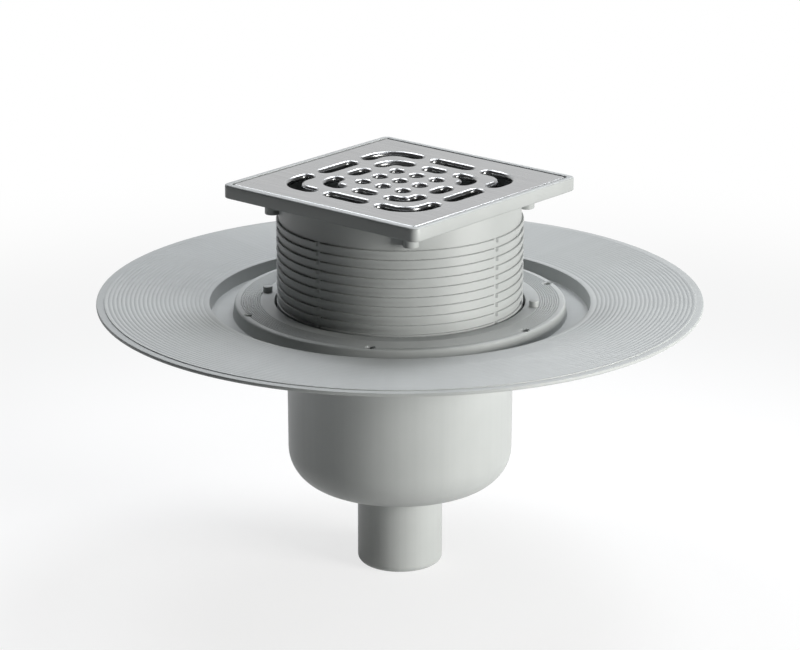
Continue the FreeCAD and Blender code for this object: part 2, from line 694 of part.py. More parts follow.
draw_polygon(grip_sketch, [
    ("-grip_length / 2", f"{BELL_TOP} - bell_wall / 2"),
    ("grip_length / 2", f"{BELL_TOP} - bell_wall / 2"),
    ("grip_length / 2", GRIP_TOP),
    ("-grip_length / 2", GRIP_TOP),
])
grip = add_feature(bell, "Pad", "grip", grip_sketch, Length="grip_thickness")
grip.Midplane = True
doc.recompute()
grip_level = value(GRIP_TOP)


def grip_corner(edge):
    box = edge.BoundBox
    return box.XLength < NEAR and box.ZLength < NEAR and abs(box.ZMax - grip_level) < NEAR


round_edges(bell, "grip_corners", "grip_corner_radius", grip_corner)

# Every object has to be sound before any file is written
doc.recompute()
for item in doc.Objects:
    if "Invalid" in item.State or "Error" in item.State:
        raise RuntimeError(f"{item.Name} failed: {item.State}")
os.makedirs("parts", exist_ok=True)
pieces = [body, seal, riser, grate, bell]
for piece in pieces:
    if piece.Shape.isNull() or not piece.Shape.isValid() or len(piece.Shape.Solids) != 1:
        raise RuntimeError(f"{piece.Label} isn't one sound solid")
for piece in pieces:
    piece.Shape.exportStep(f"parts/{piece.Label}.step")
    box = piece.Shape.BoundBox
    print(piece.Label, "volume", round(piece.Shape.Volume), "heights", round(box.ZMin, 2), round(box.ZMax, 2))
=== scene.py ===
import math

import bmesh
import bpy
from mathutils import Matrix, Vector


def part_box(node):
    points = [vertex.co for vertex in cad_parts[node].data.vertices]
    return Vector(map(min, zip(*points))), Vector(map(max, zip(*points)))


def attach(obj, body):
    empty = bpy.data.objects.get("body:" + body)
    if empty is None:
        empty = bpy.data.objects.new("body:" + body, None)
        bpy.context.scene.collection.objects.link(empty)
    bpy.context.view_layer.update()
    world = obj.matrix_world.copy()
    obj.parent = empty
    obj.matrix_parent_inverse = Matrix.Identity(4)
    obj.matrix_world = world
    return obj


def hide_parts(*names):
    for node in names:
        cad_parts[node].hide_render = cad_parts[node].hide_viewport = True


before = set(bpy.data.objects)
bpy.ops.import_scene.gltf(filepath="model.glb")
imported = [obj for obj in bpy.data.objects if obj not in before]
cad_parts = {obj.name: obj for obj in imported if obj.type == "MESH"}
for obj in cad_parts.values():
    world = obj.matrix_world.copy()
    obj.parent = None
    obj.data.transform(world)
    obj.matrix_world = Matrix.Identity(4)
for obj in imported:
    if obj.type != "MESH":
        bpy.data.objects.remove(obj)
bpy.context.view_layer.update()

# Drain body: one moulding of light grey polypropylene with outlet spigot, trap pot, riser socket, screw ring
# and wide flange. It is a turned form, made from one closed outline as its mould was, and is cast into the
# floor with the flange level, so that a sealing sheet can lie on its fine grooves.
MM = 0.001
MERGE = 1e-6
ARC_SAG = 0.02
SHARP_EDGE = math.radians(38)
wall = 3.0
spigot_radius = 25.0
spigot_length = 50.6
spigot_edge = 4.0
spigot_root = 1.2
pot_radius = 66.0
pot_draft = 0.4
pot_corner = 22.0
pipe_top = spigot_length + wall + 60.2
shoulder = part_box("riser")[0].z / MM
riser_radius = 71.5
socket_radius = riser_radius + 1.3
socket_depth = 28.0
ring_top = shoulder + socket_depth
groove_radius = socket_radius + 3.4
groove_top = ring_top - 6.0
groove_floor = groove_top - 6.0
groove_edge = 0.2
collar_radius = groove_radius + 3.8
collar_foot = ring_top - 17.0
ring_radius = 96.0
ring_draft = 1.0
ring_edge = 1.4
ridge_start = socket_radius + 8.0
ridge_pitch = 1.35
ridge_width = 1.0
ridge_depth = 0.5
ridge_count = 9
channel_floor = ring_top - 8.0
channel_underside = channel_floor - wall
lip_radius = ring_radius + 14.6
lip_draft = 0.8
crease_radius = lip_radius + 16.4
crease_level = ring_top + 1.3
flange_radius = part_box("drain_body")[1].x / MM
rim_radius = flange_radius - 4.4
rim_inner_level = ring_top + 2.4
rim_top = rim_inner_level - 0.5
rim_thickness = 2.0
rim_edge = 0.6
rim_step_edge = 0.15
ripple_start = lip_radius + 2.4
ripple_pitch = 2.5
ripple_half_width = 0.85
ripple_depth = 0.35
ripple_count = int((rim_radius - ripple_start) / ripple_pitch)
small_edge = 0.5
body_segments = 192
small_segments = 40


def flange_level(radius):
    """Height of the flange's top at a radius, without its grooves."""
    if radius < crease_radius:
        return ring_top + (crease_level - ring_top) * (radius - lip_radius) / (crease_radius - lip_radius)
    climb = (rim_inner_level - crease_level) / (rim_radius - crease_radius)
    return crease_level + climb * (radius - crease_radius)


def rounded_outline(corners):
    """Closed outline in metres from corners of radius, height and bend in millimetres, each bend an arc."""
    outline = []
    for before, corner, after in zip(corners[-1:] + corners[:-1], corners, corners[1:] + corners[:1]):
        here, bend = Vector(corner[:2]), corner[2]
        if bend == 0:
            outline.append(here * MM)
            continue
        inward = (Vector(before[:2]) - here).normalized()
        outward = (Vector(after[:2]) - here).normalized()
        opening = inward.angle(outward)
        centre = here + (inward + outward).normalized() * bend / math.sin(opening / 2)
        reach = bend / math.tan(opening / 2)
        start = (here + inward * reach - centre).normalized()
        end = (here + outward * reach - centre).normalized()
        step_angle = 2 * math.acos(1 - ARC_SAG / max(bend, ARC_SAG))
        steps = max(2, math.ceil((math.pi - opening) / step_angle))
        outline.extend((centre + bend * start.slerp(end, step / steps)) * MM for step in range(steps + 1))
    return outline


def add_node(tree, kind, inputs=None, **settings):
    """A node of a tree with its settings; each input is linked from a socket or set to a value."""
    node = tree.nodes.new(kind)
    for name, setting in settings.items():
        setattr(node, name, setting)
    for name, source in (inputs or {}).items():
        if isinstance(source, bpy.types.NodeSocket):
            tree.links.new(source, node.inputs[name])
        else:
            node.inputs[name].default_value = source
    return node


def new_shape_tree(name, sizes):
    """A tree with a geometry socket each way, the named sizes and a material, and its group input."""
    tree = bpy.data.node_groups.new(name, "GeometryNodeTree")
    tree.interface.new_socket("Geometry", in_out="INPUT", socket_type="NodeSocketGeometry")
    for size, kind in sizes.items():
        tree.interface.new_socket(size, in_out="INPUT", socket_type=kind)
    tree.interface.new_socket("Material", in_out="INPUT", socket_type="NodeSocketMaterial")
    tree.interface.new_socket("Geometry", in_out="OUTPUT", socket_type="NodeSocketGeometry")
    return tree, tree.nodes.new("NodeGroupInput")


def close_shape_tree(tree, geometry, material):
    """Ends a tree in plain geometry with its material."""
    real = add_node(tree, "GeometryNodeRealizeInstances", {"Geometry": geometry})
    coated = add_node(tree, "GeometryNodeSetMaterial", {"Geometry": real.outputs[0], "Material": material})
    add_node(tree, "NodeGroupOutput", {"Geometry": coated.outputs[0]})
    return tree


def turned_form_tree():
    """Turns an outline, kept as points in order in the XZ plane, round Z into a closed form."""
    tree, given = new_shape_tree("turned_form", {"Segments": "NodeSocketInt"})
    count = add_node(tree, "GeometryNodeAttributeDomainSize", {"Geometry": given.outputs["Geometry"]})
    points = count.outputs["Point Count"]
    columns = add_node(tree, "FunctionNodeIntegerMath", {0: given.outputs["Segments"], 1: 1}, operation="ADD")
    rows = add_node(tree, "FunctionNodeIntegerMath", {0: points, 1: 1}, operation="ADD")
    grid = add_node(tree, "GeometryNodeMeshGrid",
                    {"Vertices X": rows.outputs[0], "Vertices Y": columns.outputs[0]})
    index = add_node(tree, "GeometryNodeInputIndex").outputs[0]
    row = add_node(tree, "FunctionNodeIntegerMath", {0: index, 1: columns.outputs[0]},
                   operation="DIVIDE_FLOOR")
    column = add_node(tree, "FunctionNodeIntegerMath", {0: index, 1: columns.outputs[0]}, operation="MODULO")
    corner = add_node(tree, "FunctionNodeIntegerMath", {0: row.outputs[0], 1: points}, operation="MODULO")
    place = add_node(tree, "GeometryNodeInputPosition")
    sample = add_node(tree, "GeometryNodeSampleIndex", data_type="FLOAT_VECTOR")
    tree.links.new(given.outputs["Geometry"], sample.inputs["Geometry"])
    tree.links.new(place.outputs[0], sample.inputs["Value"])
    tree.links.new(corner.outputs[0], sample.inputs["Index"])
    share = add_node(tree, "ShaderNodeMath", {0: column.outputs[0], 1: given.outputs["Segments"]},
                     operation="DIVIDE")
    angle = add_node(tree, "ShaderNodeMath", {0: share.outputs[0], 1: math.tau}, operation="MULTIPLY")
    swung = add_node(tree, "ShaderNodeVectorRotate", {"Vector": sample.outputs[0], "Angle": angle.outputs[0]},
                     rotation_type="Z_AXIS")
    turned = add_node(tree, "GeometryNodeSetPosition",
                      {"Geometry": grid.outputs["Mesh"], "Position": swung.outputs[0]})
    closed = add_node(tree, "GeometryNodeMergeByDistance", {"Geometry": turned.outputs[0], "Distance": MERGE})
    return close_shape_tree(tree, closed.outputs[0], given.outputs["Material"])


def copies_round_tree():
    """Repeats a shape evenly round Z, the first copy turned by an angle."""
    tree, given = new_shape_tree("copies_round", {"Copies": "NodeSocketInt", "Turn": "NodeSocketFloat"})
    spots = add_node(tree, "GeometryNodePoints", {"Count": given.outputs["Copies"]})
    index = add_node(tree, "GeometryNodeInputIndex").outputs[0]
    step = add_node(tree, "ShaderNodeMath", {0: math.tau, 1: given.outputs["Copies"]}, operation="DIVIDE")
    angle = add_node(tree, "ShaderNodeMath", {0: index, 1: step.outputs[0], 2: given.outputs["Turn"]},
                     operation="MULTIPLY_ADD")
    turn = add_node(tree, "ShaderNodeCombineXYZ", {"Z": angle.outputs[0]})
    copies = add_node(tree, "GeometryNodeInstanceOnPoints", {
        "Points": spots.outputs[0], "Instance": given.outputs["Geometry"], "Rotation": turn.outputs[0]})
    return close_shape_tree(tree, copies.outputs[0], given.outputs["Material"])


def new_object(name, data):
    item = bpy.data.objects.new(name, data)
    bpy.context.scene.collection.objects.link(item)
    return item


def plain_mesh(holder):
    """The finished mesh of an object with its modifiers, which is then removed."""
    mesh = bpy.data.meshes.new_from_object(holder.evaluated_get(bpy.context.evaluated_depsgraph_get()))
    bpy.data.objects.remove(holder)
    return mesh


def grow(mesh, tree, sizes):
    """The plain mesh that a tree makes from a mesh."""
    holder = new_object(tree.name, mesh)
    modifier = holder.modifiers.new(tree.name, "NODES")
    modifier.node_group = tree
    for socket in tree.interface.items_tree:
        if socket.in_out == "INPUT" and socket.name in sizes:
            modifier[socket.identifier] = sizes[socket.name]
    return plain_mesh(holder)


def sound(mesh):
    """The mesh without loose edges and with its faces turned outwards."""
    shape = bmesh.new()
    shape.from_mesh(mesh)
    loose = [edge for edge in shape.edges if not edge.link_faces]
    bmesh.ops.delete(shape, geom=loose, context="EDGES")
    bmesh.ops.recalc_face_normals(shape, faces=shape.faces)
    shape.to_mesh(mesh)
    shape.free()
    return mesh


def turned(corners, segments, material):
    """A closed form turned round Z from an outline's corners."""
    outline = rounded_outline(corners)
    mesh = bpy.data.meshes.new("outline")
    mesh.from_pydata([(point.x, 0, point.y) for point in outline], [], [])
    return sound(grow(mesh, turned_form, {"Segments": segments, "Material": material}))


def all_round(mesh, copies, turn, material):
    """Copies of a mesh round Z, the first one turned by some degrees."""
    return grow(mesh, copies_round, {"Copies": copies, "Turn": math.radians(turn), "Material": material})


def cut(mesh, tool):
    """The mesh less the room that the tool fills."""
    holder, cutter = new_object("cut", mesh), new_object("tool", tool)
    modifier = holder.modifiers.new("cut", "BOOLEAN")
    modifier.object = cutter
    modifier.operation = "DIFFERENCE"
    modifier.solver = "EXACT"
    result = plain_mesh(holder)
    bpy.data.objects.remove(cutter)
    return result


def one_piece(name, meshes, material):
    """One object from meshes that belong to one piece, smooth between its sharp edges."""
    shape = bmesh.new()
    for mesh in meshes:
        shape.from_mesh(mesh)
    joined = bpy.data.meshes.new(name)
    shape.to_mesh(joined)
    shape.free()
    joined.materials.clear()
    joined.materials.append(material)
    joined.polygons.foreach_set("use_smooth", [True] * len(joined.polygons))
    joined.set_sharp_from_angle(angle=SHARP_EDGE)
    return new_object(name, joined)


def linear(red, green, blue):
    """A colour on the 0 to 255 scale of screens as the linear colour that a shader takes."""
    shares = [channel / 255 for channel in (red, green, blue)]
    return (*[share / 12.92 if share < 0.04045 else ((share + 0.055) / 1.055) ** 2.4 for share in shares], 1)


def moulded_plastic(name, dark, light, streaks, shine):
    """Satin moulded plastic: two close tones in soft clouds and flow streaks, and a fine eroded skin."""
    material = bpy.data.materials.new(name)
    material.use_nodes = True
    tree = material.node_tree
    shader = tree.nodes["Principled BSDF"]
    place = add_node(tree, "ShaderNodeTexCoord").outputs["Object"]
    clouds = add_node(tree, "ShaderNodeTexNoise", {
        "Vector": place, "Scale": 22, "Detail": 4, "Roughness": 0.55})
    flat = add_node(tree, "ShaderNodeVectorMath", {0: place, 1: (1, 1, 0)}, operation="MULTIPLY")
    spoke = add_node(tree, "ShaderNodeVectorMath", {0: flat.outputs[0]}, operation="NORMALIZE")
    flow = add_node(tree, "ShaderNodeTexNoise", {"Vector": spoke.outputs[0], "Scale": 14, "Detail": 3})
    tone = add_node(tree, "ShaderNodeMix", {"Factor": streaks, "A": clouds.outputs[0], "B": flow.outputs[0]},
                    data_type="FLOAT")
    ramp = add_node(tree, "ShaderNodeValToRGB", {"Fac": tone.outputs[0]})
    ramp.color_ramp.elements[0].position = 0.3
    ramp.color_ramp.elements[0].color = linear(*dark)
    ramp.color_ramp.elements[1].position = 0.7
    ramp.color_ramp.elements[1].color = linear(*light)
    tree.links.new(ramp.outputs[0], shader.inputs["Base Color"])
    gloss = add_node(tree, "ShaderNodeMapRange", {
        "Value": clouds.outputs[0], "From Min": 0.3, "From Max": 0.7, "To Min": 0.42, "To Max": 0.52})
    tree.links.new(gloss.outputs[0], shader.inputs["Roughness"])
    skin = add_node(tree, "ShaderNodeTexNoise", {"Vector": place, "Scale": 1400, "Detail": 2})
    grain = add_node(tree, "ShaderNodeBump", {
        "Height": skin.outputs[0], "Strength": 0.06, "Distance": 0.0002})
    tree.links.new(grain.outputs[0], shader.inputs["Normal"])
    shader.inputs["IOR"].default_value = 1.49
    shader.inputs["Specular IOR Level"].default_value = shine
    return material


turned_form = turned_form_tree()
copies_round = copies_round_tree()
body_plastic = moulded_plastic("body_plastic", (161, 164, 163), (170, 173, 172), 0.35, 0.45)

ripples = []
for ripple in reversed(range(ripple_count)):
    middle = ripple_start + (ripple + 0.5) * ripple_pitch
    for side, sink in ((1, 0), (0, ripple_depth), (-1, 0)):
        radius = middle + side * ripple_half_width
        ripples.append((radius, flange_level(radius) - sink, 0))
ridges = []
for ridge in reversed(range(ridge_count)):
    valley = ridge_start + ridge * ridge_pitch
    ridges.append((valley + ridge_width, ring_top, 0))
    ridges.append((valley + ridge_width / 2, ring_top - ridge_depth, 0))
    ridges.append((valley, ring_top, 0))
end_steps = 10
end_start = -math.acos((spigot_edge - wall) / spigot_edge)
end_level = -spigot_edge * math.sin(end_start)
spigot_end = []
for step in range(end_steps + 1):
    bend = end_start * (1 - step / end_steps)
    spigot_end.append((spigot_radius - spigot_edge + spigot_edge * math.cos(bend),
                       end_level + spigot_edge * math.sin(bend), 0))
body_outline = [
    *spigot_end,
    (spigot_radius, spigot_length, spigot_root),
    (pot_radius - pot_draft, spigot_length, pot_corner),
    (pot_radius, shoulder - wall, small_edge),
    (socket_radius + wall, shoulder - wall, wall / 2),
    (socket_radius + wall, collar_foot, small_edge),
    (collar_radius, collar_foot + wall, small_edge),
    (collar_radius, ring_top - wall, small_edge),
    (ring_radius - wall, ring_top - wall, small_edge),
    (ring_radius + ring_draft - wall, channel_underside, small_edge),
    (lip_radius - lip_draft + wall, channel_underside, small_edge),
    (lip_radius + wall, ring_top - wall, small_edge),
    (flange_radius, rim_top - rim_thickness, rim_edge),
    (flange_radius, rim_top, rim_edge),
    (rim_radius, rim_top, 0),
    (rim_radius, rim_inner_level, rim_step_edge),
    *ripples,
    (lip_radius, ring_top, small_edge),
    (lip_radius - lip_draft, channel_floor, small_edge),
    (ring_radius + ring_draft, channel_floor, small_edge),
    (ring_radius, ring_top, ring_edge),
    *ridges,
    (socket_radius, ring_top, small_edge),
    (socket_radius, groove_top, groove_edge),
    (groove_radius, groove_top, groove_edge),
    (groove_radius, groove_floor, groove_edge),
    (socket_radius, groove_floor, groove_edge),
    (socket_radius, shoulder, small_edge),
    (pot_radius - wall, shoulder, small_edge),
    (pot_radius - pot_draft - wall, spigot_length + wall, pot_corner - wall),
    (spigot_radius, spigot_length + wall, small_edge),
    (spigot_radius, pipe_top, small_edge),
    (spigot_radius - wall, pipe_top, small_edge),
]
body_shell = turned(body_outline, body_segments, body_plastic)

# Screw seats of the ring: six pilot holes for a clamping ring, each in a shallow round seat with a boss below
pilot_circle = Vector((ring_radius - 3.8, 0, 0)) * MM
pilot_count = 6
pilot_radius = 2.15
pilot_floor = channel_underside + 2.0
seat_radius = 3.0
seat_level = ring_top - 0.5
seat_edge = 0.3
boss_radius = 3.8
boss_edge = 0.3
boss_top = ring_top - wall / 2
above_ring = ring_top + 5.0
pilot_tool = turned([
    (0, pilot_floor, 0),
    (pilot_radius, pilot_floor, 0),
    (pilot_radius, seat_level, 0),
    (seat_radius, seat_level, seat_edge),
    (seat_radius, above_ring, 0),
    (0, above_ring, 0),
], small_segments, body_plastic)
pilot_tool.transform(Matrix.Translation(pilot_circle))
body_shell = cut(body_shell, all_round(pilot_tool, pilot_count, 0, body_plastic))
boss = turned([
    (pilot_radius, channel_underside, boss_edge),
    (boss_radius, channel_underside, boss_edge),
    (boss_radius, boss_top, 0),
    (pilot_radius, boss_top, 0),
], small_segments, body_plastic)
boss.transform(Matrix.Translation(pilot_circle))
bosses = all_round(boss, pilot_count, 0, body_plastic)

# Two round lugs on the ring's smooth inner band, moulded with it
lug_circle = Vector((socket_radius + 5.8, 0, 0)) * MM
lug_count = 2
lug_turn = 30
lug_radius = 2.75
lug_edge = 0.4
lug_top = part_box("drain_body")[1].z / MM
lug_foot = ring_top - wall / 2
lug = turned([
    (0, lug_foot, 0),
    (lug_radius, lug_foot, 0),
    (lug_radius, lug_top, lug_edge),
    (0, lug_top, 0),
], small_segments, body_plastic)
lug.transform(Matrix.Translation(lug_circle))
lugs = all_round(lug, lug_count, lug_turn, body_plastic)
drain_body = one_piece("moulded_body", [body_shell, bosses, lugs], body_plastic)
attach(drain_body, "base")
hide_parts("drain_body")

# Trap bell: a loose cup of grey plastic, mouth down over the outlet pipe, that holds back the water seal.
# It is moulded with ribs that stand on the pipe and a grip on top, and lifts out by hand.


def smooth_copy(node, name, material):
    """A merged copy of a CAD node, smooth between its sharp edges, that stands for the node."""
    shape = bmesh.new()
    shape.from_mesh(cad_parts[node].data)
    bmesh.ops.remove_doubles(shape, verts=shape.verts, dist=MERGE)
    mesh = bpy.data.meshes.new(name)
    shape.to_mesh(mesh)
    shape.free()
    piece = one_piece(name, [mesh], material)
    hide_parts(node)
    return piece


bell_plastic = moulded_plastic("bell_plastic", (140, 144, 142), (150, 154, 151), 0.0, 0.4)
bell = smooth_copy("trap_bell", "trap_bell_cup", bell_plastic)
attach(bell, "base")

# Riser seal: a ring of black rubber with two lips, pressed into the groove of the socket by hand.
# The riser turns and slides in it.


def rubber(name, dark, light):
    """Matt rubber with a dusty bloom."""
    material = bpy.data.materials.new(name)
    material.use_nodes = True
    tree = material.node_tree
    shader = tree.nodes["Principled BSDF"]
    place = add_node(tree, "ShaderNodeTexCoord").outputs["Object"]
    bloom = add_node(tree, "ShaderNodeTexNoise", {"Vector": place, "Scale": 120, "Detail": 5})
    ramp = add_node(tree, "ShaderNodeValToRGB", {"Fac": bloom.outputs[0]})
    ramp.color_ramp.elements[0].color = linear(*dark)
    ramp.color_ramp.elements[1].color = linear(*light)
    tree.links.new(ramp.outputs[0], shader.inputs["Base Color"])
    grain = add_node(tree, "ShaderNodeBump", {
        "Height": bloom.outputs[0], "Strength": 0.2, "Distance": 0.0002})
    tree.links.new(grain.outputs[0], shader.inputs["Normal"])
    shader.inputs["Roughness"].default_value = 0.62
    return material


seal_rubber = rubber("seal_rubber", (24, 24, 25), (44, 44, 45))
seal = smooth_copy("riser_seal", "lip_seal", seal_rubber)
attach(seal, "seal")

# Riser: one moulding of the same grey plastic, a tube with low ring ribs, each broken by four short gaps, and
# a square frame with studs on top. It slides and turns in the seal until the frame meets the floor's tiles.
riser_foot = shoulder
riser_bore = riser_radius - wall
lead_in = 1.2
frame_underside = riser_foot + 91.4
rib_pitch = 5.475
rib_count = 10
rib_zone_top = frame_underside - 13.5
rib_depth = 1.3
rib_height = 2.45
rib_edge = 0.3
gap_half = 1.75
gap_floor_half = 0.6
gap_depth = 1.15
gap_margin = 0.2
frame_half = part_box("riser")[1].x / MM
frame_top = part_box("riser")[1].z / MM
frame_ledge = frame_underside + 2.8
frame_corner = 4.5
frame_foot_edge = 0.8
frame_top_edge = 1.0
recess_half = frame_half - 3.6
recess_corner = 2.4
recess_edge = 0.4
mouth_radius = riser_bore - 2.5
edge_steps = 4
column_step = math.radians(2)
columns_each_side = 21
corner_steps = 8
corner_step = (math.pi / 4 - math.atan(1 - frame_corner / frame_half)) / corner_steps


def square_reach(half, corner, angle):
    """Distance from the centre to the edge of a rounded square in a direction."""
    fold = abs((angle + math.pi / 4) % (math.pi / 2) - math.pi / 4)
    core = half - corner
    if half * math.tan(fold) <= core:
        return half / math.cos(fold)
    reach = core * (math.cos(fold) + math.sin(fold))
    return reach + math.sqrt(corner**2 + reach**2 - 2 * core**2)


quarter = [step * column_step for step in range(-columns_each_side, columns_each_side + 1)]
for along in (gap_floor_half, gap_half):
    quarter.extend((-along / riser_radius, along / riser_radius))
quarter.extend(math.pi / 4 + step * corner_step for step in range(-corner_steps, corner_steps + 1))
columns = [turn * math.pi / 2 + angle for turn in range(4) for angle in sorted(quarter)]


def ring_row(radius, height):
    """A round of points on the tube."""
    return [Vector((radius * math.cos(a), radius * math.sin(a), height)) * MM for a in columns]


def rib_row(sink, height, gap=0):
    """A round of points sunk that far below the ribs, and at least as far as the gap in the four gaps."""
    row = []
    for angle in columns:
        fold = abs((angle + math.pi / 4) % (math.pi / 2) - math.pi / 4)
        in_gap = fold * riser_radius < (gap_floor_half + gap_half) / 2
        reach = riser_radius - (max(sink, gap) if in_gap else sink)
        row.append(Vector((reach * math.cos(angle), reach * math.sin(angle), height)) * MM)
    return row


def square_row(half, corner, height):
    """A round of points on a rounded square of the frame."""
    reaches = [square_reach(half, corner, angle) for angle in columns]
    return [Vector((r * math.cos(a), r * math.sin(a), height)) * MM for r, a in zip(reaches, columns)]


rows = [ring_row(riser_bore, riser_foot), ring_row(riser_radius - lead_in, riser_foot),
        ring_row(riser_radius, riser_foot + lead_in)]
for rib in reversed(range(rib_count)):
    rib_top = rib_zone_top - rib * rib_pitch
    rib_foot = rib_top - rib_height
    if rib < rib_count - 1:
        rows.append(rib_row(rib_depth, rib_foot))
    else:
        rows.append(rib_row(0, rib_foot - gap_margin))
    rows.append(rib_row(0, rib_foot, gap_depth))
    rows.append(rib_row(0, rib_top - rib_edge, gap_depth))
    rows.append(rib_row(rib_edge, rib_top, gap_depth))
    rows.append(rib_row(rib_depth, rib_top))
rows.append(ring_row(riser_radius - rib_depth, frame_underside))
for step in range(edge_steps + 1):
    bend = step / edge_steps * math.pi / 2
    inset = frame_foot_edge * (1 - math.sin(bend))
    rows.append(square_row(frame_half - inset, frame_corner - inset,
                           frame_underside + frame_foot_edge * (1 - math.cos(bend))))
for step in range(edge_steps + 1):
    bend = step / edge_steps * math.pi / 2
    inset = frame_top_edge * (1 - math.cos(bend))
    rows.append(square_row(frame_half - inset, frame_corner - inset,
                           frame_top - frame_top_edge * (1 - math.sin(bend))))
for step in range(edge_steps + 1):
    bend = step / edge_steps * math.pi / 2
    outset = recess_edge * (1 - math.sin(bend))
    rows.append(square_row(recess_half + outset, recess_corner + outset,
                           frame_top - recess_edge * (1 - math.cos(bend))))
rows.append(square_row(recess_half, recess_corner, frame_ledge))
rows.append(ring_row(mouth_radius, frame_ledge))
rows.append(ring_row(mouth_radius, frame_underside))
rows.append(ring_row(riser_bore, frame_underside))


def closed_rows(rows):
    """A mesh through rounds of points, closed both round the rows and from the last row to the first."""
    across = len(rows[0])
    faces = []
    for i in range(len(rows)):
        for j in range(across):
            here, above = i * across, (i + 1) % len(rows) * across
            after = (j + 1) % across
            faces.append((here + j, here + after, above + after, above + j))
    mesh = bpy.data.meshes.new("rows")
    mesh.from_pydata([point for row in rows for point in row], [], faces)
    return sound(mesh)


stud_circle = Vector((riser_radius + 2.0, 0, 0)) * MM
stud_count = 4
stud_turn = 45
stud_radius = 4.5
stud_edge = 0.4
stud_segments = 48
stud_foot = frame_underside - 10.2
stud_top = frame_underside + 1.4
riser_plastic = moulded_plastic("riser_plastic", (156, 159, 158), (165, 168, 167), 0.0, 0.8)
stud = turned([
    (0, stud_foot, 0),
    (stud_radius, stud_foot, stud_edge),
    (stud_radius, stud_top, 0),
    (0, stud_top, 0),
], stud_segments, riser_plastic)
stud.transform(Matrix.Translation(stud_circle))
studs = all_round(stud, stud_count, stud_turn, riser_plastic)
riser = one_piece("ribbed_riser", [closed_rows(rows), studs], riser_plastic)
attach(riser, "top_section")
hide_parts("riser")

# Grate: a tray pressed from 1.5 mm stainless sheet, with every slot drawn down into a rolled collar.
# Its turned-down edge stands loose on the frame's ledge, and its top lies a hair below the frame's rim.
sheet = 1.5
grate_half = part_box("grate")[1].x / MM
grate_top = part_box("grate")[1].z / MM
grate_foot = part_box("grate")[0].z / MM
grate_corner = 2.4
tray_edge = 0.9
slot_half_width = 4.0
roll = 2.2
roll_steps = 8
collar_depth = 3.5
flat_margin = 0.15
cap_steps = 12
bend_steps = 14
grid_pitch = 15.0
slot_rings = [
    {"half": 30.8, "bend": 9.0, "straight": 3.8, "corner_start": 19.8},
    {"half": 47.3, "bend": 15.0, "straight": 11.2, "corner_start": 27.0},
]


def arc(across, up, radius, start, end, steps):
    """Points on an arc between two angles in quarter turns."""
    angles = [(start + (end - start) * step / steps) * math.pi / 2 for step in range(steps + 1)]
    return [Vector((across + radius * math.cos(a), up + radius * math.sin(a))) for a in angles]


def straight_slot(ring, width):
    """Outline of the straight slot in the middle of one side of a ring of slots."""
    right = arc(ring["straight"], ring["half"], width, -1, 1, cap_steps)
    left = arc(-ring["straight"], ring["half"], width, 1, 3, cap_steps)
    return right + left


def bent_slot(ring, width):
    """Outline of the slot that runs round one corner of a ring of slots."""
    turn = ring["half"] - ring["bend"]
    upper = arc(ring["corner_start"], ring["half"], width, 3, 1, cap_steps)
    outer = arc(turn, turn, ring["bend"] + width, 1, 0, bend_steps)
    lower = arc(ring["half"], ring["corner_start"], width, 4, 2, cap_steps)
    inner = arc(turn, turn, ring["bend"] - width, 0, 1, bend_steps)
    return upper + outer + lower + inner


def round_hole(across, up, width):
    """Outline of a hole of the middle grid."""
    return arc(across, up, width, 0, 4, 4 * cap_steps)[:-1]


def quarter_outlines(width):
    """Outlines of one quarter of the slots at that half width."""
    outlines = [round_hole(grid_pitch, 0, width), round_hole(grid_pitch, grid_pitch, width)]
    for ring in slot_rings:
        outlines.append(straight_slot(ring, width))
        outlines.append(bent_slot(ring, width))
    return outlines


def all_outlines(width):
    """Outlines of every slot of the grate."""
    outlines = [round_hole(0, 0, width)]
    for turn in range(4):
        swing = Matrix.Rotation(turn * math.pi / 2, 2)
        outlines.extend([swing @ point for point in outline] for outline in quarter_outlines(width))
    return outlines


def collar_levels():
    """Half widths and heights of the section of a drawn collar, from the flat top round to the underside."""
    levels = [(slot_half_width + roll + flat_margin, grate_top)]
    for step in range(roll_steps + 1):
        bend = step / roll_steps * math.pi / 2
        levels.append((slot_half_width + roll * (1 - math.sin(bend)),
                       grate_top - roll * (1 - math.cos(bend))))
    levels.append((slot_half_width, grate_top - collar_depth))
    levels.append((slot_half_width + sheet, grate_top - collar_depth))
    levels.append((slot_half_width + sheet, grate_top - sheet))
    return levels


def skin(rounds):
    """Vertices and faces through closed rounds of points that have as many points each."""
    across = len(rounds[0])
    faces = []
    for i in range(len(rounds) - 1):
        for j in range(across):
            after = (j + 1) % across
            faces.append((i * across + j, i * across + after, (i + 1) * across + after, (i + 1) * across + j))
    mesh = bpy.data.meshes.new("skin")
    mesh.from_pydata([point * MM for round_points in rounds for point in round_points], [], faces)
    return mesh


def flat_sheet(outlines, height):
    """A flat mesh inside the first outline and outside the others."""
    curve = bpy.data.curves.new("sheet_outline", "CURVE")
    curve.dimensions = "2D"
    curve.fill_mode = "BOTH"
    for outline in outlines:
        spline = curve.splines.new("POLY")
        spline.points.add(len(outline) - 1)
        for spot, point in zip(spline.points, outline):
            spot.co = (point.x, point.y, 0, 1)
        spline.use_cyclic_u = True
    mesh = plain_mesh(new_object("sheet_outline", curve))
    mesh.transform(Matrix.Diagonal((MM, MM, MM, 1)) @ Matrix.Translation((0, 0, height)))
    return mesh


def tray_outline(half, corner):
    """Outline of the tray as points on a rounded square."""
    core = half - corner
    outline = []
    for turn, (across, up) in enumerate(((core, core), (-core, core), (-core, -core), (core, -core))):
        outline.extend(arc(across, up, corner, turn, turn + 1, cap_steps))
    return outline


def lifted(outline, height):
    return [Vector((point.x, point.y, height)) for point in outline]


